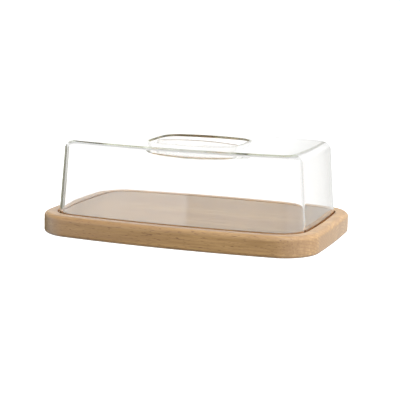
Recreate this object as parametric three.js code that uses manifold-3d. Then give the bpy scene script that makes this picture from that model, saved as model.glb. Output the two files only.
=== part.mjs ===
// A butter dish: a board of edge-glued beech staves, and a clear moulded cover that stands in a groove
// routed round the top of the board and lifts straight off. The cover has no knob: it is picked up by a
// grip rib that crosses a recess sunk in its top.
//
// Millimetres, +Z up, +X along the board. The origin is at the middle of the board's underside.

import * as THREE from 'three';
import { mergeVertices } from 'three/addons/utils/BufferGeometryUtils.js';
import Module from 'manifold-3d';

const wasm = await Module();
wasm.setup();

// ---------------------------------------------------------------- driving dimensions

// A plan outline is a rounded rectangle whose sides bow outwards. The half sizes include the bow.
const board = {
  plan: { halfLength: 97.5, halfWidth: 65.6, cornerRadius: 22, longBow: 6.5, shortBow: 2.1 },
  thickness: 14,
  topRound: 3,
  bottomRound: 2,
  staveJoints: [-16.5, 26.5],
};

const cover = {
  plan: { halfLength: 88.3, halfWidth: 56.3, cornerRadius: 15.5, longBow: 5.6, shortBow: 2.2 },
  top: 62.8,
  wall: 2,
  draft: THREE.MathUtils.degToRad(4.5),
  topRound: 6,
};

// The groove follows the cover's wall, with a clearance outside it and inside it.
const groove = { outerClearance: 0.8, depth: 3, innerClearance: 0.6 };

// The recess is deepest in the middle of its length, and its floor rises towards both ends.
const recess = {
  plan: { halfLength: 31.5, halfWidth: 28.2, cornerRadius: 8, longBow: 6, shortBow: 1 },
  depth: 7.8,
  floorRise: 2.2,
  wallSlope: 3.5,
  floorRound: 3,
  wall: 2,
};

const rib = { thickness: 2.6, endDrop: 1.6 };

// How finely the curves are cut into facets.
const facets = { corner: 8, longSide: 12, shortSide: 8, round: 5, arch: 16 };

// How far a cutting solid runs past the surface that it cuts.
const overrun = 1;

// ---------------------------------------------------------------- solids from geometry

function solidOf(geometry) {
  const bare = geometry.clone();
  bare.deleteAttribute('normal');
  bare.deleteAttribute('uv');
  const merged = mergeVertices(bare);
  const vertProperties = new Float32Array(merged.attributes.position.array);
  const triVerts = new Uint32Array(merged.index.array);
  return new wasm.Manifold(new wasm.Mesh({ numProp: 3, vertProperties, triVerts }));
}

function meshOf(solid, name, material) {
  const made = solid.getMesh();
  const geometry = new THREE.BufferGeometry();
  geometry.setAttribute('position', new THREE.BufferAttribute(made.vertProperties, made.numProp));
  geometry.setIndex(new THREE.BufferAttribute(made.triVerts, 1));
  const mesh = new THREE.Mesh(geometry, material);
  mesh.name = name;
  return mesh;
}

// ---------------------------------------------------------------- plan outlines

// The outline's points, anticlockwise from the right-hand end of the front side.
function outline(plan, inset = 0) {
  const radius = plan.cornerRadius - inset;
  const halfX = plan.halfLength - plan.shortBow - inset;
  const halfY = plan.halfWidth - plan.longBow - inset;
  const straight = [];
  const corners = [
    { x: halfX - radius, y: -halfY + radius, from: -Math.PI / 2, side: facets.shortSide },
    { x: halfX - radius, y: halfY - radius, from: 0, side: facets.longSide },
    { x: -halfX + radius, y: halfY - radius, from: Math.PI / 2, side: facets.shortSide },
    { x: -halfX + radius, y: -halfY + radius, from: Math.PI, side: facets.longSide },
  ];
  for (const [index, corner] of corners.entries()) {
    const arc = new THREE.ArcCurve(corner.x, corner.y, radius, corner.from, corner.from + Math.PI / 2);
    straight.push(...arc.getPoints(facets.corner));
    const next = corners[(index + 1) % corners.length];
    const start = straight[straight.length - 1];
    const end = new THREE.Vector2(
      next.x + radius * Math.cos(next.from),
      next.y + radius * Math.sin(next.from),
    );
    for (let step = 1; step < corner.side; step += 1) {
      straight.push(start.clone().lerp(end, step / corner.side));
    }
  }
  return straight.map(({ x, y }) => new THREE.Vector2(
    x + Math.sign(x) * plan.shortBow * (1 - (y / halfY) ** 2),
    y + Math.sign(y) * plan.longBow * (1 - (x / halfX) ** 2),
  ));
}

// A closed body through a stack of sections of one plan outline, each inset by its own amount. With a
// lift, a section isn't level: lift says how far each of its points is raised.
function loft(plan, sections, lift = () => 0) {
  const rings = sections.map(({ inset, z }) => ({ points: outline(plan, inset), z }));
  const count = rings[0].points.length;
  const position = [];
  const index = [];
  for (const ring of rings) {
    for (const point of ring.points) {
      position.push(point.x, point.y, ring.z + lift(point, ring.z));
    }
  }
  for (let level = 0; level < rings.length - 1; level += 1) {
    for (let at = 0; at < count; at += 1) {
      const a = level * count + at;
      const b = level * count + ((at + 1) % count);
      index.push(a, b, b + count, a, b + count, a + count);
    }
  }
  const last = (rings.length - 1) * count;
  for (const [a, b, c] of THREE.ShapeUtils.triangulateShape(rings[0].points, [])) {
    index.push(c, b, a);
  }
  for (const [a, b, c] of THREE.ShapeUtils.triangulateShape(rings[rings.length - 1].points, [])) {
    index.push(last + a, last + b, last + c);
  }
  const geometry = new THREE.BufferGeometry();
  geometry.setAttribute('position', new THREE.Float32BufferAttribute(position, 3));
  geometry.setIndex(index);
  return solidOf(geometry);
}

// Points on a quarter round, or the part of one from angle start up to a right angle. At the right
// angle the round meets the level surface at height z, at the inset given; below it, inset shrinks.
function roundedEdge(inset, z, radius, start = 0) {
  const points = [];
  for (let step = 0; step <= facets.round; step += 1) {
    const angle = start + (Math.PI / 2 - start) * (step / facets.round);
    points.push({ inset: inset - radius * Math.cos(angle), z: z - radius + radius * Math.sin(angle) });
  }
  return points;
}

// ---------------------------------------------------------------- the board

function grooveSolid() {
  const floor = board.thickness - groove.depth;
  const above = board.thickness + overrun;
  const innerInset = cover.wall + groove.innerClearance;
  const outer = loft(cover.plan, [
    { inset: -groove.outerClearance, z: floor },
    { inset: -groove.outerClearance, z: above },
  ]);
  const inner = loft(cover.plan, [
    { inset: innerInset, z: floor - overrun },
    { inset: innerInset, z: above + overrun },
  ]);
  return outer.subtract(inner);
}

function boardSolid() {
  const underside = roundedEdge(board.bottomRound, board.bottomRound, board.bottomRound)
    .map(({ inset, z }) => ({ inset, z: board.bottomRound - z }))
    .reverse();
  const upper = roundedEdge(board.topRound, board.thickness, board.topRound);
  return loft(board.plan, [...underside, ...upper]).subtract(grooveSolid());
}

// The stretch of board between two glue lines, as a box to cut with.
function staveBox(fromY, toY) {
  const { halfLength } = board.plan;
  const geometry = new THREE.BoxGeometry(
    2 * (halfLength + overrun),
    toY - fromY,
    board.thickness + 2 * overrun,
  );
  geometry.translate(0, (fromY + toY) / 2, board.thickness / 2);
  return solidOf(geometry);
}

function staves() {
  const whole = boardSolid();
  const edge = board.plan.halfWidth + overrun;
  const cuts = [-edge, ...board.staveJoints, edge];
  const names = ['stave_front', 'stave_middle', 'stave_rear'];
  return names.map((name, index) => {
    const stave = whole.intersect(staveBox(cuts[index], cuts[index + 1]));
    return meshOf(stave, name, beech());
  });
}

// ---------------------------------------------------------------- the cover

// The outer surface, or with an offset the surface that lies that far inside it.
function coverBody(offset, bottom) {
  const rim = board.thickness - groove.depth;
  const radius = cover.topRound - offset;
  const centreZ = cover.top - cover.topRound;
  const leanAt = (z) => (z - rim) * Math.tan(cover.draft) + offset / Math.cos(cover.draft);
  const tangentZ = centreZ + radius * Math.sin(cover.draft);
  const centreInset = leanAt(tangentZ) + radius * Math.cos(cover.draft);
  return loft(cover.plan, [
    { inset: leanAt(bottom), z: bottom },
    ...roundedEdge(centreInset, cover.top - offset, radius, cover.draft),
  ]);
}

// The space of the recess, or with an offset that space and the wall round it.
function recessBody(offset, top) {
  const floor = cover.top - recess.depth - offset;
  const radius = recess.floorRound + offset;
  const lean = 1 / recess.wallSlope;
  const slope = Math.atan(lean);
  const leanAt = (z) => (cover.top - z) * lean - offset / Math.cos(slope);
  const tangentZ = floor + radius * (1 - Math.sin(slope));
  const centreInset = leanAt(tangentZ) + radius * Math.cos(slope);
  const floorEdge = roundedEdge(centreInset, radius, radius, slope)
    .map(({ inset, z }) => ({ inset, z: floor + radius - z }))
    .reverse();
  const lift = (point, z) => {
    const depthShare = Math.max(0, cover.top - offset - z) / recess.depth;
    return recess.floorRise * depthShare * (point.x / recess.plan.halfLength) ** 2;
  };
  return loft(recess.plan, [...floorEdge, { inset: leanAt(top), z: top }], lift);
}

// The grip rib, with a top edge that is level with the cover's top in the middle and dips to its ends.
function ribBody() {
  const end = recess.plan.halfLength;
  const floor = cover.top - recess.depth;
  const shape = new THREE.Shape();
  shape.moveTo(-end, floor - recess.wall / 2);
  shape.lineTo(end, floor - recess.wall / 2);
  shape.lineTo(end, cover.top - rib.endDrop);
  shape.quadraticCurveTo(0, cover.top + rib.endDrop, -end, cover.top - rib.endDrop);
  const geometry = new THREE.ExtrudeGeometry(shape, {
    depth: rib.thickness,
    bevelEnabled: false,
    curveSegments: facets.arch,
  });
  geometry.translate(0, 0, -rib.thickness / 2);
  geometry.rotateX(Math.PI / 2);
  return solidOf(geometry);
}

function coverSolid() {
  const rim = board.thickness - groove.depth;
  const outer = coverBody(0, rim);
  const inner = coverBody(cover.wall, rim - overrun);
  const pocket = recessBody(0, cover.top + overrun);
  const pocketAndWall = recessBody(recess.wall, cover.top + overrun);
  const shell = outer.subtract(pocket).subtract(inner.subtract(pocketAndWall));
  return shell.add(ribBody().intersect(pocketAndWall));
}

// ---------------------------------------------------------------- materials

function beech() {
  return new THREE.MeshStandardMaterial({ color: 0xd2ab7f, roughness: 0.55, metalness: 0 });
}

function clearAcrylic() {
  return new THREE.MeshStandardMaterial({
    color: 0xf2f4f0,
    roughness: 0.05,
    metalness: 0,
    transparent: true,
    opacity: 0.3,
  });
}

// ---------------------------------------------------------------- the assembly

const dish = new THREE.Group();
dish.name = 'butter_dish';
dish.add(...staves());
dish.add(meshOf(coverSolid(), 'cover', clearAcrylic()));

export default dish;
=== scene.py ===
"""A butter dish: a board of three edge-glued beech staves, and a clear acrylic cover that lifts off it.

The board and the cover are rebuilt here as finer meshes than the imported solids, with the same outlines,
sections and recess. Lengths with no unit in their name are in metres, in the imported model's frame:
+X along the board, +Z up, the origin in the middle of the board's underside.
"""

import math
from dataclasses import dataclass

import bmesh
import bpy
from mathutils import Matrix, Vector


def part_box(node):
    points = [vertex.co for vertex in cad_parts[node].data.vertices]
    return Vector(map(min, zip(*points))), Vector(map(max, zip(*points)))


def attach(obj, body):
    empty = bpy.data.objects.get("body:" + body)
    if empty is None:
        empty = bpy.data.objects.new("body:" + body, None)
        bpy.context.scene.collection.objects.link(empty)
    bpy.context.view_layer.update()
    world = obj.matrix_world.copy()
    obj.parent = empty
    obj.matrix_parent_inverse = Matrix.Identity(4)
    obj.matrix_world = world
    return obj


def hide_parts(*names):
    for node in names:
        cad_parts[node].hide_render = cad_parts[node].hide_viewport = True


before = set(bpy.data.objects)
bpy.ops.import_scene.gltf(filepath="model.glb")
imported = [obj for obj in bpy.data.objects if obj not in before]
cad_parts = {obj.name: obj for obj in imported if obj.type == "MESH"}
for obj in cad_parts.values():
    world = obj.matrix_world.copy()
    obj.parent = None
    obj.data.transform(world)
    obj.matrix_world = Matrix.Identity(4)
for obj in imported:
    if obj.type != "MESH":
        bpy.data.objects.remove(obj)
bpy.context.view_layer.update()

MM = 0.001


# ------------------------------------------------------------------ sizes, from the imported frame

@dataclass
class Plan:
    """A rounded rectangle whose sides bow outwards. The half sizes include the bow."""
    half_length: float
    half_width: float
    corner: float
    long_bow: float
    short_bow: float


board_high = Vector(map(max, *(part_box(node)[1] for node in ("stave_rear", "stave_middle"))))
cover_low, cover_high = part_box("cover")

BOARD = Plan(board_high.x, board_high.y, 22 * MM, 6.5 * MM, 2.1 * MM)
BOARD_TOP = board_high.z
TOP_ROUND = 3 * MM
BASE_ROUND = 2 * MM
GLUE_LINES = (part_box("stave_front")[1].y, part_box("stave_middle")[1].y)

COVER = Plan(cover_high.x, cover_high.y, 15.5 * MM, 5.6 * MM, 2.2 * MM)
COVER_RIM = cover_low.z
COVER_TOP = cover_high.z
COVER_DRAFT = math.radians(4.5)
COVER_ROUND = 6 * MM
WALL = 2 * MM
RIM_ROUND = 0.7 * MM
SEAT_GAP = 0.15 * MM  # keeps the rounded rim clear of the groove's floor, where they would share a face

GROOVE_FLOOR = COVER_RIM
GROOVE_OUTER_GAP = 0.8 * MM
GROOVE_INNER_GAP = 0.6 * MM
GROOVE_CORNER = 1.0 * MM
GROOVE_LIP = 0.5 * MM

RECESS = Plan(31.5 * MM, 28.2 * MM, 8 * MM, 6 * MM, 1 * MM)
RECESS_DEPTH = 7.8 * MM
RECESS_RISE = 2.2 * MM
RECESS_LEAN = 1 / 3.5
RECESS_ROUND = 3 * MM
RECESS_LIP = 0.35 * MM
RIB_THICKNESS = 2.6 * MM
RIB_DROP = 1.6 * MM
RIB_ROUND = 0.9 * MM
RIB_SHORTER = 1.2 * MM  # how far each end stops short of the recess's rim


# ------------------------------------------------------------------ looks

RING_SPACING = 2.3  # mm
RING_DRIFT = 9.0  # how far a ring wanders, in mm
PITHS = ((-75, -70), (8, -74), (96, -60))  # (y, z) in mm, one for each stave

# How many cells of each pattern there are in a millimetre along X, Y and Z.
DRIFT_CELLS = (0.008, 0.02, 0.02)
BROAD_CELLS = (0.006, 0.11, 0.11)
STREAK_CELLS = (0.02, 0.55, 0.55)
FIBRE_CELLS = (0.06, 2.6, 2.6)
FLECK_CELLS = (0.22, 1.9, 1.9)
RIPPLE_CELLS = (0.03, 0.03, 0.03)

# How much of its own colour each pattern gives the wood, at the most.
RING_SHARE_ON_SIDES = 0.5
BROAD_SHARE = 0.7
FIBRE_SHARE = 0.55
FLECK_SHARE = 0.75
# The groove's share is painted shade: how far the walls of the groove are darkened and warmed, as if in
# shadow.
GROOVE_SHADE_SHARE = 0.85

BEECH_LIGHT = (0.435, 0.262, 0.10, 1)
BEECH_DEEP = (0.30, 0.17, 0.055, 1)
BEECH_LATE = (0.27, 0.15, 0.06, 1)
BEECH_BROAD = (0.29, 0.158, 0.056, 1)
BEECH_FLECK = (0.13, 0.06, 0.024, 1)
# Painted shade for the routed groove: its walls in shadow, warmed by light bounced between them.
BEECH_GROOVE_SHADE = (0.50, 0.21, 0.06, 1)
BEECH_RELIEF = 0.05 * MM
BEECH_COAT = 0.6
BEECH_COAT_ROUGHNESS = 0.22
# The vertex mark that says where the groove's painted shade goes.
GROOVE_MARK = "groove"
BOARD_CREASE = 40  # degrees; edges that turn by more stay crisp

ACRYLIC_INDEX = 1.49
ACRYLIC_TINT = (0.73, 0.81, 0.52, 1)
ACRYLIC_DENSITY = 6.0
RIPPLE_RELIEF = 0.5 * MM
COVER_CREASE = 35  # degrees

FLOOR_SIZE = 6
FLOOR_DROP = 0.2 * MM  # below the board, so that the two don't share a face
FLOOR_GREY = (0.5, 0.5, 0.5, 1)
FLOOR_GLOW = 1.1
LIGHT_BOUNCES = 96  # light is guided a long way inside the cover's walls

# Two arrangements of the studio's light: what shows through and in the surfaces, and what falls on
# the wood. Each has its brightness straight down, at the horizon and overhead, and panels of light or
# of shade. A panel's numbers are its azimuth and elevation, the angles from its middle where it
# starts to fade and where it ends, all in degrees, and its colour. Azimuth 0 is in front of the
# object, 90 on its right. A later panel lies over an earlier one.
SEEN_LIGHT = (0.9, 0.95, 0.75, (
    (90, 25, 25, 60, (1.6, 1.6, 1.6, 1)),  # a broad light on the right
    (0, 15, 20, 50, (1.12, 1.07, 0.95, 1)),  # the front
    (-55, 0, 36.5, 37.5, (1.85, 1.85, 1.85, 1)),  # a bright panel whose edge shows in the front wall
    (-148, -8, 15, 27, (1.2, 1.2, 1.2, 1)),  # the background that shows through the cover
    (-168.5, 11.5, 2.5, 6.5, (0.52, 0.52, 0.48, 1)),  # shade in the round above the right wall
    (162, -2, 8, 14, (0.78, 0.78, 0.76, 1)),  # shade in the right wall
    (40, 70, 6, 12, (9, 9, 9, 1)),  # a small lamp that gives highlights
    (-155, 46, 32, 36, (0.68, 0.68, 0.68, 1)),  # shade in the top's front edge
    (-126, -9, 12, 19, (0.20, 0.19, 0.13, 1)),  # shade in the left wall's edge
    (-140, 17, 6, 10, (0.45, 0.45, 0.38, 1)),  # shade in the round above the left wall
    (-20, -36, 23, 30, (0.15, 0.15, 0.15, 1)),  # shade low in front, in the board's front side
))
FALLING_LIGHT = (0.15, 0.29, 5.1, (
    (78, 0, 32, 64, (1.95, 2.0, 2.25, 1)),  # a cool light on the right
    (-80, 10, 45, 90, (0.1, 0.1, 0.1, 1)),  # shade on the left
))


# ------------------------------------------------------------------ plan outlines and lofted bodies

CORNER_STEPS = 20
LONG_STEPS = 40
SHORT_STEPS = 24
EDGE_STEPS = 8
LIP_STEPS = 5
TIP_STEPS = 4
COVER_ROUND_STEPS = 10
RIB_STEPS = 48
RIB_ROUND_STEPS = 6
RECESS_FLOOR_RINGS = (0.98, 0.85, 0.7, 0.55, 0.4, 0.25, 0.1)
HOLD = 0.35 * MM  # a ring this far from a round keeps the shading of the flat beside it flat


def outline(plan, inset=0.0):
    """The outline's (x, y) points, anticlockwise from the right-hand end of the front side."""
    radius = plan.corner - inset
    half_x = plan.half_length - plan.short_bow - inset
    half_y = plan.half_width - plan.long_bow - inset
    middles = [
        (half_x - radius, radius - half_y, -90, SHORT_STEPS),
        (half_x - radius, half_y - radius, 0, LONG_STEPS),
        (radius - half_x, half_y - radius, 90, SHORT_STEPS),
        (radius - half_x, radius - half_y, 180, LONG_STEPS),
    ]
    points = []
    for number, (x, y, first, side_steps) in enumerate(middles):
        for step in range(CORNER_STEPS + 1):
            angle = math.radians(first + 90 * step / CORNER_STEPS)
            points.append((x + radius * math.cos(angle), y + radius * math.sin(angle)))
        next_x, next_y, next_first, _ = middles[(number + 1) % 4]
        start = points[-1]
        turn = math.radians(next_first)
        end = (next_x + radius * math.cos(turn), next_y + radius * math.sin(turn))
        for step in range(1, side_steps):
            share = step / side_steps
            points.append(tuple(a + (b - a) * share for a, b in zip(start, end)))
    return [
        (x + math.copysign(plan.short_bow, x) * (1 - (y / half_y) ** 2),
         y + math.copysign(plan.long_bow, y) * (1 - (x / half_x) ** 2))
        for x, y in points
    ]


def ring(bm, plan, inset, z, lift=None, scale=1.0):
    """One level of a lofted body: the outline's vertices at height z, each raised by lift(x, z)."""
    made = []
    for x, y in outline(plan, inset):
        made.append(bm.verts.new((x * scale, y * scale, z + (lift(x * scale, z) if lift else 0))))
    return made


def strips(bm, rings):
    """Faces between each ring and the next."""
    for low, high in zip(rings, rings[1:]):
        for a, b, c, d in zip(low, low[1:] + low[:1], high[1:] + high[:1], high):
            bm.faces.new((a, b, c, d))


def fan(bm, last_ring, z):
    """Closes a ring with triangles round a point in its middle."""
    middle = bm.verts.new((0, 0, z))
    for a, b in zip(last_ring, last_ring[1:] + last_ring[:1]):
        bm.faces.new((a, b, middle))


def quarter(centre_inset, centre_z, radius, start, end, steps=EDGE_STEPS):
    """(inset, z) points round a centre. Angle 0 points outwards and level, and 90 degrees up."""
    for step in range(steps + 1):
        angle = math.radians(start + (end - start) * step / steps)
        yield centre_inset - radius * math.cos(angle), centre_z + radius * math.sin(angle)


def new_piece(name, bm, material):
    """A smooth-shaded object from bm."""
    mesh = bpy.data.meshes.new(name)
    bm.to_mesh(mesh)
    bm.free()
    smooth(mesh)
    piece = bpy.data.objects.new(name, mesh)
    bpy.context.scene.collection.objects.link(piece)
    piece.data.materials.append(material)
    return piece


def smooth(mesh):
    """Shades every face as part of a curved surface."""
    for face in mesh.polygons:
        face.use_smooth = True


def mark_sharp(piece, degrees):
    """Keeps edges that turn by more than this crisp."""
    piece.data.set_sharp_from_angle(angle=math.radians(degrees))


def join(target, other):
    """Makes one solid of two, and leaves target as a plain mesh."""
    change = target.modifiers.new("change", "BOOLEAN")
    change.operation = "UNION"
    change.solver = "EXACT"
    change.object = other
    depsgraph = bpy.context.evaluated_depsgraph_get()
    joined = bpy.data.meshes.new_from_object(target.evaluated_get(depsgraph))
    target.modifiers.clear()
    target.data = joined
    bpy.data.objects.remove(other)


# ------------------------------------------------------------------ the board

def board_mesh():
    """The whole board, from its underside up over the rim and through the groove to the top."""
    lip, corner = GROOVE_LIP, GROOVE_CORNER
    outer = -GROOVE_OUTER_GAP
    inner = WALL + GROOVE_INNER_GAP
    upper_lip = BOARD_TOP - lip
    low_corner = GROOVE_FLOOR + corner
    board_rows = [(BASE_ROUND + HOLD, 0)]
    board_rows += quarter(BASE_ROUND, BASE_ROUND, BASE_ROUND, -90, 0)
    board_rows += [(0, BASE_ROUND + HOLD), (0, BOARD_TOP - TOP_ROUND - HOLD)]
    board_rows += quarter(TOP_ROUND, BOARD_TOP - TOP_ROUND, TOP_ROUND, 0, 90)
    board_rows += [(TOP_ROUND + HOLD, BOARD_TOP)]
    cover_rows = [(outer - lip - HOLD, BOARD_TOP)]
    cover_rows += quarter(outer - lip, upper_lip, lip, 90, 180, LIP_STEPS)
    cover_rows += quarter(outer + corner, low_corner, corner, 0, -90, LIP_STEPS)
    cover_rows += quarter(inner - corner, low_corner, corner, 270, 180, LIP_STEPS)
    cover_rows += quarter(inner + lip, upper_lip, lip, 0, 90, LIP_STEPS)
    cover_rows += [(inner + lip + HOLD, BOARD_TOP)]
    bm = bmesh.new()
    mark = bm.verts.layers.float.new(GROOVE_MARK)
    rings = [ring(bm, BOARD, inset, z) for inset, z in board_rows]
    rings += [ring(bm, COVER, inset, z) for inset, z in cover_rows]
    # Mark the groove's walls, where the wood gets painted shade.
    for (_, z), row in zip(cover_rows, rings[len(board_rows):]):
        on_wall = low_corner - corner / 2 < z < upper_lip + lip / 2
        for point in row:
            point[mark] = 1.0 if on_wall else 0.0
    strips(bm, rings)
    bm.faces.new(list(reversed(rings[0])))
    bm.faces.new(rings[-1])
    return bm


def stave(name, from_y, to_y, material):
    """The stretch of the board between two glue lines, closed where it was cut."""
    bm = board_mesh()
    for y, outwards in ((from_y, -1), (to_y, 1)):
        if y is None:
            continue
        everything = bm.verts[:] + bm.edges[:] + bm.faces[:]
        cut = bmesh.ops.bisect_plane(
            bm, geom=everything, dist=1e-7,
            plane_co=(0, y, 0), plane_no=(0, outwards, 0), clear_outer=True,
        )
        edges = [e for e in cut["geom_cut"] if isinstance(e, bmesh.types.BMEdge)]
        bmesh.ops.triangle_fill(bm, use_beauty=True, use_dissolve=False, edges=edges)
    bmesh.ops.recalc_face_normals(bm, faces=bm.faces[:])
    piece = new_piece(name, bm, material)
    mark_sharp(piece, BOARD_CREASE)
    return piece


# ------------------------------------------------------------------ the cover

def lean_at(z, offset=0.0):
    """How far in the cover's leaning wall is at height z, or a surface that lies offset inside it."""
    return (z - COVER_RIM) * math.tan(COVER_DRAFT) + offset / math.cos(COVER_DRAFT)


def cover_round(offset):
    """The (inset, z) points of the round between wall and top, offset inside the outer surface."""
    radius = COVER_ROUND - offset
    centre_z = COVER_TOP - COVER_ROUND
    tangent_z = centre_z + radius * math.sin(COVER_DRAFT)
    centre_inset = lean_at(tangent_z, offset) + radius * math.cos(COVER_DRAFT)
    return quarter(centre_inset, centre_z, radius, math.degrees(COVER_DRAFT), 90, COVER_ROUND_STEPS)


def recess_floor_round(offset):
    """The (inset, z) points from the recess's floor up to its wall, or on the surface offset below."""
    floor = COVER_TOP - RECESS_DEPTH - offset
    radius = RECESS_ROUND + offset
    slope = math.atan(RECESS_LEAN)
    tangent_z = floor + radius * (1 - math.sin(slope))
    wall_inset = (COVER_TOP - tangent_z) * RECESS_LEAN - offset / math.cos(slope)
    centre_inset = wall_inset + radius * math.cos(slope)
    return list(quarter(centre_inset, floor + radius, radius, -90, -math.degrees(slope)))


def cover_side(offset, tip_angles):
    """The (inset, z) points from the rim up over the round, for the outer surface or one inside it."""
    tip = RIM_ROUND
    side = 1 if offset else -1
    tip_z = COVER_RIM + SEAT_GAP + tip
    tip_centre = lean_at(tip_z, offset) - side * tip
    rows = list(quarter(tip_centre, tip_z, tip, *tip_angles, TIP_STEPS))
    rounded = list(cover_round(offset))
    wall_ends = (tip_z + HOLD, rounded[0][1] - HOLD)
    rows += [(lean_at(z, offset), z) for z in wall_ends]
    rows += rounded
    rows += [(rounded[-1][0] + HOLD, rounded[-1][1])]
    return rows


def recess_wall_at(z, offset=0.0):
    """The inset of the recess's leaning wall at height z."""
    return (COVER_TOP - z) * RECESS_LEAN - offset / math.cos(math.atan(RECESS_LEAN))


def recess_rows(offset):
    """The (inset, z) points from the level top down into the recess, for its surface or the underside."""
    slope = math.atan(RECESS_LEAN)
    top = COVER_TOP - offset
    if offset:
        start = recess_wall_at(top, offset)
        rows = [(start - HOLD, top), (start, top)]
    else:
        lip = RECESS_LIP
        lip_centre = -lip * (1 - math.sin(slope)) / math.cos(slope)
        rows = [(lip_centre - HOLD, top)]
        rows += quarter(lip_centre, top - lip, lip, 90, 180 - math.degrees(slope), LIP_STEPS)
    floor_round = list(reversed(recess_floor_round(offset)))
    for z in (rows[-1][1] - HOLD, floor_round[0][1] + HOLD):
        rows.append((recess_wall_at(z, offset), z))
    return rows + floor_round


def recess_rings(bm, offset):
    """The recess's rings, from the level top to the middle of its floor."""
    def lift(x, z):
        depth_share = max(0.0, COVER_TOP - offset - z) / RECESS_DEPTH
        return RECESS_RISE * depth_share * (x / RECESS.half_length) ** 2

    rows = recess_rows(offset)
    rings = [ring(bm, RECESS, inset, z, lift) for inset, z in rows]
    last_inset, floor = rows[-1]
    for scale in RECESS_FLOOR_RINGS:
        rings.append(ring(bm, RECESS, last_inset, floor, lift, scale))
    return rings, floor


def cover_mesh():
    """The cover as one closed skin: out over the wall and top, down into the recess, and back inside."""
    bm = bmesh.new()
    outside = [ring(bm, COVER, inset, z) for inset, z in cover_side(0.0, (-90, 0))]
    inside = [ring(bm, COVER, inset, z) for inset, z in cover_side(WALL, (270, 180))]
    for shell, offset in ((outside, 0.0), (inside, WALL)):
        rings, floor = recess_rings(bm, offset)
        strips(bm, shell + rings)
        fan(bm, rings[-1], floor)
    strips(bm, [inside[0], outside[0]])
    bmesh.ops.recalc_face_normals(bm, faces=bm.faces[:])
    return bm


def build_cover(material):
    """The cover with its grip rib joined in."""
    cover = new_piece("cover_shell", cover_mesh(), material)
    join(cover, rib_solid(material))
    smooth(cover.data)
    mark_sharp(cover, COVER_CREASE)
    return cover


def rib_solid(material):
    """The grip rib, level with the top in the middle and lower at its ends, with a rounded upper edge."""
    bm = bmesh.new()
    half = RIB_THICKNESS / 2
    end = RECESS.half_length - RIB_SHORTER
    rings = []
    for step in range(RIB_STEPS + 1):
        x = -end + 2 * end * step / RIB_STEPS
        top = COVER_TOP - RIB_DROP * (x / end) ** 2
        base = COVER_TOP - RECESS_DEPTH - WALL / 2 + RECESS_RISE * (x / RECESS.half_length) ** 2
        section = [(-half, base)]
        for turn in range(RIB_ROUND_STEPS + 1):
            angle = math.pi - math.pi / 2 * turn / RIB_ROUND_STEPS
            section.append((-half + RIB_ROUND + RIB_ROUND * math.cos(angle),
                            top - RIB_ROUND + RIB_ROUND * math.sin(angle)))
        section += [(-y, z) for y, z in reversed(section)]
        rings.append([bm.verts.new((x, y, z)) for y, z in section])
    strips(bm, rings)
    bm.faces.new(list(reversed(rings[0])))
    bm.faces.new(rings[-1])
    bmesh.ops.recalc_face_normals(bm, faces=bm.faces[:])
    return new_piece("rib", bm, material)


# ------------------------------------------------------------------ node trees

class Graph:
    """Short calls that add nodes to one node tree and return their outputs."""

    def __init__(self, owner):
        owner.use_nodes = True
        self.tree = owner.node_tree
        self.nodes = owner.node_tree.nodes

    def add(self, kind, inputs=None, **settings):
        """A new node. Each input is given by name or number, as a value or as the output that feeds it."""
        made = self.nodes.new(kind)
        for name, value in settings.items():
            setattr(made, name, value)
        for socket, value in (inputs or {}).items():
            self.feed(made, socket, value)
        return made

    def feed(self, node, socket, value):
        if isinstance(value, bpy.types.NodeSocket):
            self.tree.links.new(value, node.inputs[socket])
        else:
            node.inputs[socket].default_value = value

    def place(self):
        """Where on the object a point lies, in millimetres."""
        in_metres = self.add("ShaderNodeTexCoord").outputs["Object"]
        return self.vector("MULTIPLY", in_metres, (1000, 1000, 1000))

    def math(self, operation, *values):
        return self.add("ShaderNodeMath", dict(enumerate(values)), operation=operation).outputs[0]

    def vector(self, operation, *values):
        made = self.add("ShaderNodeVectorMath", dict(enumerate(values)), operation=operation)
        return made.outputs["Value" if operation in ("DOT_PRODUCT", "LENGTH") else "Vector"]

    def remap(self, value, low, high, to_low=0.0, to_high=1.0):
        """A smooth step from to_low, where value is low, to to_high, where it is high."""
        made = self.add("ShaderNodeMapRange", {0: value, 1: low, 2: high, 3: to_low, 4: to_high},
                        interpolation_type="SMOOTHSTEP")
        return made.outputs[0]

    def noise(self, place, cells, detail=2.0, roughness=0.5):
        """Noise with this many cells in a millimetre along each axis."""
        stretched = self.vector("MULTIPLY", place, cells)
        made = self.add("ShaderNodeTexNoise", {
            "Vector": stretched, "Scale": 1.0, "Detail": detail, "Roughness": roughness,
        })
        return made.outputs["Fac"]

    def blend(self, factor, first, second, kind="MIX"):
        made = self.add("ShaderNodeMix", {0: factor, 6: first, 7: second},
                        data_type="RGBA", blend_type=kind)
        return made.outputs[2]


# ------------------------------------------------------------------ materials

def ringed_wood(graph, place, pith, end_grain):
    """The colour that rings and streaks give the wood. Rings show less on the sides and the top."""
    drift = graph.math("MULTIPLY", graph.noise(place, DRIFT_CELLS), RING_DRIFT)
    from_pith = graph.vector("SUBTRACT", place, (0, *pith))
    across = graph.vector("LENGTH", graph.vector("MULTIPLY", from_pith, (0, 1, 1)))
    years = graph.math("DIVIDE", graph.math("ADD", across, drift), RING_SPACING)
    late_wood = graph.remap(graph.math("FRACT", years), 0.55, 0.97)
    ring_share = graph.math("MULTIPLY", late_wood, graph.remap(end_grain, 0, 1, RING_SHARE_ON_SIDES, 1.0))
    streaks = graph.remap(graph.noise(place, STREAK_CELLS, 3.0, 0.6), 0.3, 0.7)
    broad_share = graph.remap(graph.noise(place, BROAD_CELLS, 2.0), 0.4, 0.65, 0.0, BROAD_SHARE)
    wood = graph.blend(streaks, BEECH_LIGHT, BEECH_DEEP)
    wood = graph.blend(ring_share, wood, BEECH_LATE)
    return graph.blend(broad_share, wood, BEECH_BROAD)


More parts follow.
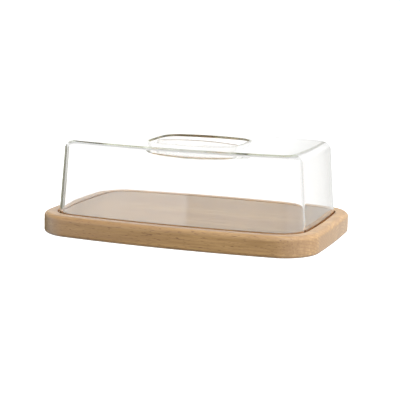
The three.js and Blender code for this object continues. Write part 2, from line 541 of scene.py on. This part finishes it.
def beech(name, pith):
    """Satin-oiled beech. The growth rings run round pith, the (y, z) place of the tree's middle in mm."""
    material = bpy.data.materials.new(name)
    graph = Graph(material)
    place = graph.place()
    facing = graph.add("ShaderNodeTexCoord").outputs["Normal"]
    along_x = graph.math("ABSOLUTE", graph.vector("DOT_PRODUCT", facing, (1, 0, 0)))
    end_grain = graph.remap(along_x, 0.5, 0.9)
    long_grain = graph.math("SUBTRACT", 1.0, end_grain)
    fibres = graph.noise(place, FIBRE_CELLS, 3.0, 0.65)
    flecks = graph.remap(graph.noise(place, FLECK_CELLS, 1.0), 0.62, 0.70)

    wood = ringed_wood(graph, place, pith, end_grain)
    fibre_share = graph.math("MULTIPLY", graph.remap(fibres, 0.35, 0.75, 0.0, FIBRE_SHARE), long_grain)
    wood = graph.blend(fibre_share, wood, BEECH_LATE)
    fleck_share = graph.math("MULTIPLY", graph.math("MULTIPLY", flecks, FLECK_SHARE), long_grain)
    wood = graph.blend(fleck_share, wood, BEECH_FLECK)
    # Painted shade in the groove: its walls are darkened and warmed as if they lay in shadow.
    routed = graph.add("ShaderNodeAttribute", attribute_name=GROOVE_MARK).outputs["Fac"]
    wood = graph.blend(graph.math("MULTIPLY", routed, GROOVE_SHADE_SHARE), wood, BEECH_GROOVE_SHADE)

    relief = graph.math("ADD", graph.math("MULTIPLY", fibres, 0.6), graph.math("MULTIPLY", flecks, -0.4))
    bump = graph.add("ShaderNodeBump", {"Strength": 0.35, "Distance": BEECH_RELIEF, "Height": relief})

    shader = graph.nodes["Principled BSDF"]
    graph.feed(shader, "Base Color", wood)
    graph.feed(shader, "Roughness", graph.remap(fibres, 0.3, 0.7, 0.40, 0.55))
    graph.feed(shader, "Normal", bump.outputs["Normal"])
    graph.feed(shader, "Coat Weight", BEECH_COAT)
    graph.feed(shader, "Coat Roughness", BEECH_COAT_ROUGHNESS)
    return material


def clear_acrylic():
    """Clear acrylic with a faint olive tint, and the slight ripple of a moulded part."""
    material = bpy.data.materials.new("clear_acrylic")
    graph = Graph(material)
    ripple = graph.noise(graph.place(), RIPPLE_CELLS, 1.0)
    bump = graph.add("ShaderNodeBump", {"Strength": 0.05, "Distance": RIPPLE_RELIEF, "Height": ripple})
    shader = graph.nodes["Principled BSDF"]
    graph.feed(shader, "Base Color", (1, 1, 1, 1))
    graph.feed(shader, "Roughness", 0.0)
    graph.feed(shader, "IOR", ACRYLIC_INDEX)
    graph.feed(shader, "Transmission Weight", 1.0)
    graph.feed(shader, "Normal", bump.outputs["Normal"])
    absorb = graph.add("ShaderNodeVolumeAbsorption", {"Color": ACRYLIC_TINT, "Density": ACRYLIC_DENSITY})
    graph.feed(graph.nodes["Material Output"], "Volume", absorb.outputs["Volume"])
    return material


# ------------------------------------------------------------------ stage, light and camera

def heading(azimuth, elevation):
    """The direction that lies azimuth degrees round from -Y towards +X, and elevation degrees up."""
    turn, rise = math.radians(azimuth), math.radians(elevation)
    return (math.sin(turn) * math.cos(rise), -math.cos(turn) * math.cos(rise), math.sin(rise))


def floor():
    """A plain white floor that only the camera sees, bright enough to lose its edge in the background."""
    mesh = bpy.data.meshes.new("floor")
    size = FLOOR_SIZE
    corners = [(-size, -size, 0), (size, -size, 0), (size, size, 0), (-size, size, 0)]
    mesh.from_pydata(corners, [], [(0, 1, 2, 3)])
    material = bpy.data.materials.new("floor")
    graph = Graph(material)
    shader = graph.nodes["Principled BSDF"]
    graph.feed(shader, "Base Color", FLOOR_GREY)
    graph.feed(shader, "Roughness", 0.9)
    graph.feed(shader, "Emission Color", (1, 1, 1, 1))
    graph.feed(shader, "Emission Strength", FLOOR_GLOW)
    made = bpy.data.objects.new("floor", mesh)
    made.location.z = -FLOOR_DROP
    made.visible_diffuse = False
    made.visible_glossy = False
    made.visible_transmission = False
    made.data.materials.append(material)
    bpy.context.scene.collection.objects.link(made)


def studio():
    """Soft light all round: one arrangement for what is seen, and one for what falls on the wood."""
    made = bpy.data.worlds.new("studio")
    bpy.context.scene.world = made
    graph = Graph(made)
    path = graph.add("ShaderNodeLightPath").outputs
    direct = graph.math("ADD", path["Is Camera Ray"], path["Is Glossy Ray"])
    direct = graph.math("MAXIMUM", direct, path["Is Transmission Ray"])
    from_wood = graph.math("GREATER_THAN", path["Diffuse Depth"], 0.5)
    seen = graph.math("MULTIPLY", direct, graph.math("SUBTRACT", 1.0, from_wood))
    light = graph.blend(seen, light_from(graph, FALLING_LIGHT), light_from(graph, SEEN_LIGHT))
    graph.feed(graph.nodes["Background"], "Color", light)


def light_from(graph, arrangement):
    """The light of one arrangement of the studio, from the direction that is being looked in."""
    below, level, overhead, panels = arrangement
    looking = graph.add("ShaderNodeTexCoord").outputs["Generated"]
    height = graph.vector("DOT_PRODUCT", looking, (0, 0, 1))
    light = graph.math("ADD", graph.remap(height, -0.7, -0.1, below, level),
                       graph.remap(height, 0.1, 0.9, 0.0, overhead - level))
    for azimuth, elevation, full, edge, colour in panels:
        along = graph.vector("DOT_PRODUCT", looking, heading(azimuth, elevation))
        share = graph.remap(along, math.cos(math.radians(edge)), math.cos(math.radians(full)))
        light = graph.blend(share, light, colour)
    return light


def camera():
    """The camera: 20 degrees round to the right, 10 degrees up, a little rolled."""
    azimuth, elevation, roll = 20.0, 10.239, math.radians(1.206)
    distance, aside, above = 0.87303, 0.00126, 0.02106
    back = Vector(heading(azimuth, elevation))
    right = Vector((0, 0, 1)).cross(back).normalized()
    up = back.cross(right)
    turned_right = right * math.cos(roll) + up * math.sin(roll)
    turned_up = up * math.cos(roll) - right * math.sin(roll)
    data = bpy.data.cameras.new("camera")
    data.sensor_width = 36
    data.lens = 113.752
    made = bpy.data.objects.new("camera", data)
    axes = Matrix((turned_right, turned_up, back)).transposed()
    place = back * distance + right * aside + up * above
    made.matrix_world = Matrix.Translation(place) @ axes.to_4x4()
    bpy.context.scene.collection.objects.link(made)
    bpy.context.scene.camera = made


# ------------------------------------------------------------------ the object

camera()
studio()
floor()

cuts = (None, *GLUE_LINES, None)
for number, node in enumerate(("stave_front", "stave_middle", "stave_rear")):
    name = node.replace("stave", "beech")
    piece = stave(name, cuts[number], cuts[number + 1], beech(name, PITHS[number]))
    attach(piece, "board")
    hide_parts(node)

cover_piece = build_cover(clear_acrylic())
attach(cover_piece, "cover")
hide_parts("cover")

bpy.context.scene.view_settings.view_transform = "Standard"
bpy.context.scene.cycles.max_bounces = LIGHT_BOUNCES
bpy.context.scene.cycles.transmission_bounces = LIGHT_BOUNCES
bpy.context.scene.cycles.glossy_bounces = LIGHT_BOUNCES
